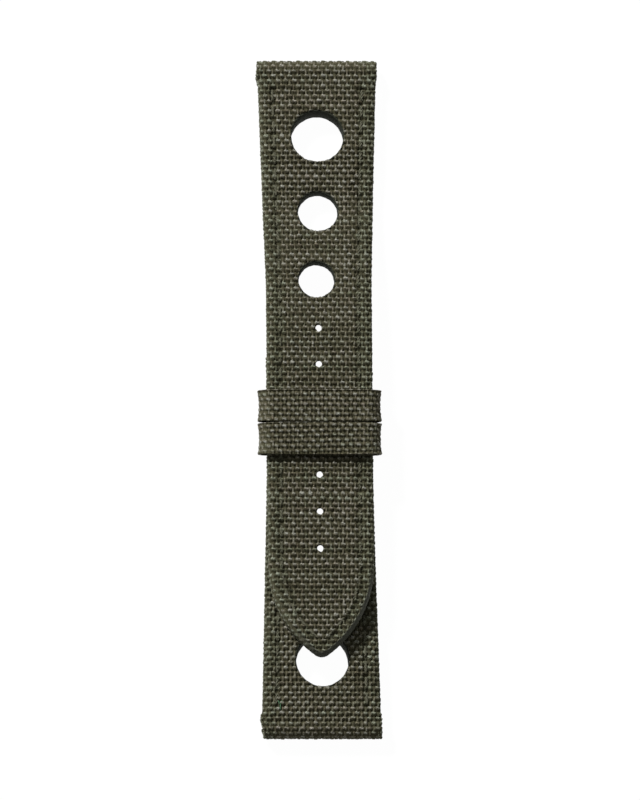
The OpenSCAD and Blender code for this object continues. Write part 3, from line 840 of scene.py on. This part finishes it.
def keeper_loop(width, low, high, corner, count, gap=0.0):
    """Points and outward normals round a rectangle with round corners, in x and z, evenly
    spaced from the middle of its bottom. A gap leaves it open there."""
    quarter = np.linspace(0, np.pi / 2, 40)
    turn = np.concatenate([k * np.pi / 2 + quarter for k in (-1, 0, 1, 2)])
    side, floor, roof = width / 2 - corner, low + corner, high - corner
    middles = [(side, floor), (side, roof), (-side, roof), (-side, floor)]
    mid_x, mid_z = np.repeat(middles, len(quarter), axis=0).T
    nx, nz = np.cos(turn), np.sin(turn)
    # Each of the four with its value at the bottom's middle, where the loop starts and ends
    rows = [(0, mid_x + corner * nx), (low, mid_z + corner * nz), (0, nx), (-1, nz)]
    loop = [np.concatenate([[end], values, [end]]) for end, values in rows]
    reach = np.concatenate([[0], np.cumsum(np.hypot(np.diff(loop[0]), np.diff(loop[1])))])
    at = np.linspace(gap / 2, reach[-1] - gap / 2, count, endpoint=gap > 0)
    return [np.interp(at, reach, values) for values in loop] + [at]


def keeper_band(name, body, cad, thick, corner, material, weave=None, tilt=0.0):
    """A keeper's band, in place of the CAD node cad: a flat strip with round edges, carried
    round a rounded rectangle. It leans towards the tip as it rises, and its edges flare a
    little at the sides. A woven band has the weave on its outer face, with rows that tilt
    along it, and its ends meet at a narrow gap under the strap."""
    low, high = box_mm(cad)
    width, length, height = high - low
    length += 0.08 - KEEPER_LEAN
    # The fixed keeper lies a little nearer to the tip than in the source
    middle = (low[1] + high[1]) / 2 - (0.15 if body == "short_strap" else 0)
    gap, count = (0.4, round(KEEPER_ROUND / STEP_X)) if weave else (0.0, 160)
    x, z, nx, nz, at = keeper_loop(width, low[2], high[2], corner, count, gap)

    # The strip's own section: along the strap, and down from its outer face
    edge, half = 0.15, thick / 2
    turn = np.linspace(0, np.pi, 11)[1:-1]
    rows = round((length - 2 * edge) / STEP_RUN) + 1 if weave else 8
    outer = np.linspace(edge, length - edge, rows)
    inner = np.linspace(length - edge, edge, 8)
    along = np.concatenate([
        outer, length - edge + edge * np.sin(turn), inner, edge - edge * np.sin(turn)])
    down = np.concatenate([
        0 * outer, half - half * np.cos(turn), 0 * inner + thick, half + half * np.cos(turn)])

    ends = 2 * along / length - 1
    sideways = (np.abs(x) / (width / 2))[:, None] ** 4
    flat_x, flat_y = at[:, None] + 0 * along, along + tilt * at[:, None] + down
    lift, marks = 0, None
    if weave:
        cloth, marks = weave.cloth(flat_x.ravel(), flat_y.ravel())
        outside = down < 0.9 * thick
        tight = (1 - 0.5 * sideways) * (1 - 0.6 * ends**12)
        lift = np.where(outside, (cloth.reshape(flat_x.shape) + 0.02) * tight, 0)
        marks = {
            key: (value.reshape(flat_x.shape) * outside).ravel() for key, value in marks.items()}
    push = lift - down + 0.28 * np.abs(ends) ** 3 * sideways
    px = x[:, None] + nx[:, None] * push
    pz = np.maximum(z[:, None] + nz[:, None] * push, 0.0)
    rise = np.clip((pz - low[2]) / height, 0, 1)
    py = middle + KEEPER_LEAN / 2 + (along - length / 2) * (1 - 0.05 * sideways)
    py -= KEEPER_LEAN * rise
    # Where a gap of the weave meets an edge, the edge is drawn in
    at_edge = np.where(np.abs(ends) > 1 - 2 * edge / length, np.sign(ends), 0)
    py += 0.3 * at_edge * np.minimum(lift, 0)

    index = np.arange(px.size).reshape(px.shape)
    faces = [closed_quads(index)]
    if gap:
        # No cells go over the gap, and a face closes each end of the strip
        faces = [faces[0][:-index.shape[1]], index[:1, ::-1], index[-1:]]
    make_piece(
        name, body, np.stack([px, py, pz], 2).reshape(-1, 3), faces,
        np.stack([flat_x.ravel(), flat_y.ravel()], 1), marks, material, [cad])


long_strap, short_strap = Strap(True), Strap(False)
long_weave, short_weave = Weave(3, LEAN), Weave(8, -LEAN)

# The long strap's canvas is made in two pieces, which part between two rows of its weave
split = 72 * WEFT
canvas("long_canvas_upper", long_strap, long_weave, long_strap.run_from, split)
canvas("long_canvas_tail", long_strap, long_weave, split, long_strap.run_to)
canvas("short_canvas", short_strap, short_weave, short_strap.run_from, short_strap.run_to)

for strap in (long_strap, short_strap):
    slab(
        "leather_lining", strap, LINING_INSET, FOLD_LEN, strap.under,
        strap.over(LINING_T - 0.05), 0.45, LEATHER, "lining")
    slab(
        "webbing", strap, 3, ROLL_R, strap.over(LINING_T), strap.over(LINING_T + 0.38),
        0.6, TAPE, "tape")
    felt = slab(
        "felt_padding", strap, 1.4, LUG_T, strap.over(LINING_T + 0.45),
        lambda s: strap.top(s) - 0.95, 0.6, FELT, "padding")
    seam("needle", strap)
    seam("bobbin", strap)
    hole_edging(strap)

for word, body, seed, tilt in (
        ("fixed_keeper", "short_strap", 26, 0.0), ("free_keeper", "free_keeper", 25, 0.022)):
    keeper_band(
        word + "_canvas", body, word + "_cover", KEEPER_T, 2.6, CANVAS,
        Weave(seed, LEAN), tilt)
    keeper_band(
        word + "_leather", body, word + "_lining", KEEPER_LINING_T, 1.9, LEATHER)

# Both keepers' threads lie a thread's radius inside their CAD nodes
tack_low, tack_high = box_mm("fixed_keeper_tacks")
side_x = tack_high[0] - KEEPER_THREAD_R
tacks = [
    ((x, y, tack_low[2]), (x, y + 0.01, tack_high[2]))
    for x in (-side_x, side_x)
    for y in (tack_low[1] + KEEPER_THREAD_R, tack_high[1] - KEEPER_THREAD_R)
]
short_threads("fixed_keeper_stitches", "short_strap", tacks, ["fixed_keeper_tacks"])
joint_low, joint_high = box_mm("free_keeper_joint_thread")
passes = [
    ((-0.35, y, 0.2), (0.35, y, 0.22))
    for y in np.linspace(joint_low[1] + KEEPER_THREAD_R, joint_high[1] - KEEPER_THREAD_R, 3)
]
short_threads("free_keeper_stitches", "free_keeper", passes, ["free_keeper_joint_thread"])

# The seam's two thread ends, twisted together at the short strap's lug end, as (x, s)
tail = [((-7.9, 6.7), (-7.6, 5.8)), ((-7.2, 6.7), (-7.5, 5.8)), ((-7.55, 5.95), (-7.5, 4.8))]
lie = LUG_T - 0.08
short_threads(
    "thread_tail", "short_strap",
    [tuple((x, s - HALF_LEN, lie) for x, s in pair) for pair in tail], (), 0.13, GREEN_THREAD)


def seen_by(tree, *kinds):
    """1 for rays of these kinds, and 0 for the rays that light the object."""
    path = node(tree, "LightPath")
    seen = path.outputs[kinds[0]]
    for kind in kinds[1:]:
        seen = node(tree, "Math", {0: seen, 1: path.outputs[kind]}, operation="MAXIMUM").outputs[0]
    return seen


def stage_and_light():
    """A white floor that keeps a faint shadow, a white surround, and one large soft lamp
    from the upper left behind the strap."""
    made, tree = new_material("white_table")
    seen = seen_by(tree, "Is Camera Ray", "Is Glossy Ray", "Is Transmission Ray")
    share = node(tree, "Math", {0: seen, 1: 0.95}, operation="MULTIPLY")
    table = node(tree, "BsdfDiffuse", {"Color": linear("#E6E6E4")})
    white = node(tree, "Emission", {"Color": (1, 1, 1, 1), "Strength": 1.03})
    both = node(tree, "MixShader", {0: share.outputs[0], 1: table.outputs[0], 2: white.outputs[0]})
    node(tree, "OutputMaterial", {"Surface": both.outputs[0]})
    corners = [(x, y, -0.1 * MM) for x, y in ((-3, -3), (3, -3), (3, 3), (-3, 3))]
    mesh = bpy.data.meshes.new("floor")
    mesh.from_pydata(corners, [], [(0, 1, 2, 3)])
    floor = add_object("floor", mesh)
    mesh.materials.append(made)

    world = bpy.data.worlds.new("studio")
    bpy.context.scene.world = world
    world.use_nodes = True
    tree = world.node_tree
    tree.nodes.clear()
    seen = seen_by(tree, "Is Camera Ray", "Is Glossy Ray")
    fill = node(tree, "Background", {"Color": (1, 1, 1, 1), "Strength": 0.21})
    white = node(tree, "Background", {"Color": (1, 1, 1, 1), "Strength": 1.0})
    both = node(tree, "MixShader", {0: seen, 1: fill.outputs[0], 2: white.outputs[0]})
    node(tree, "OutputWorld", {"Surface": both.outputs[0]})

    towards = Vector((-0.9, 1.15, 1.3)).normalized()
    lamp = bpy.data.lights.new("window", "AREA")
    lamp.shape, lamp.size, lamp.energy = "DISK", 0.5, 68
    key = add_object("window", lamp)
    key.location = towards * 2.4
    key.rotation_mode = "QUATERNION"
    key.rotation_quaternion = towards.to_track_quat("Z", "Y")


def make_camera():
    """A long lens, 73 degrees above the table and a little to the left, rolled so that the
    strap stands upright in the picture. Scale and centre are matched to the photograph."""
    azimuth, elevation = np.radians(-6), np.radians(73)
    width_px, height_px = 640, 800
    px_per_mm, (centre_x, centre_y) = 5.49, (319.3, 396.6)
    distance = 4.5
    flat = np.cos(elevation)
    back = Vector((np.sin(azimuth) * flat, -np.cos(azimuth) * flat, np.sin(elevation)))
    aim = Vector((0, 0, 3.5 * MM))
    data = bpy.data.cameras.new("camera")
    data.sensor_width = 36
    data.lens = data.sensor_width * distance / (height_px / px_per_mm * MM)
    data.clip_start, data.clip_end = 0.05, 20
    data.shift_x = (width_px / 2 - centre_x) / height_px
    data.shift_y = (centre_y - height_px / 2) / height_px
    camera = add_object("camera", data)
    camera.location = aim + back * distance
    camera.rotation_mode = "QUATERNION"
    turn = back.to_track_quat("Z", "Y")
    # The picture's up is where +Y points, less the strap's own lean of 0.45 degrees
    up = turn.inverted() @ Vector((0, 1, 0))
    roll = np.arctan2(-up.x, up.y) - np.radians(0.45)
    camera.rotation_quaternion = turn @ Quaternion((0, 0, 1), float(roll))
    bpy.context.scene.camera = camera


stage_and_light()
make_camera()
bpy.context.scene.view_settings.view_transform = "Standard"
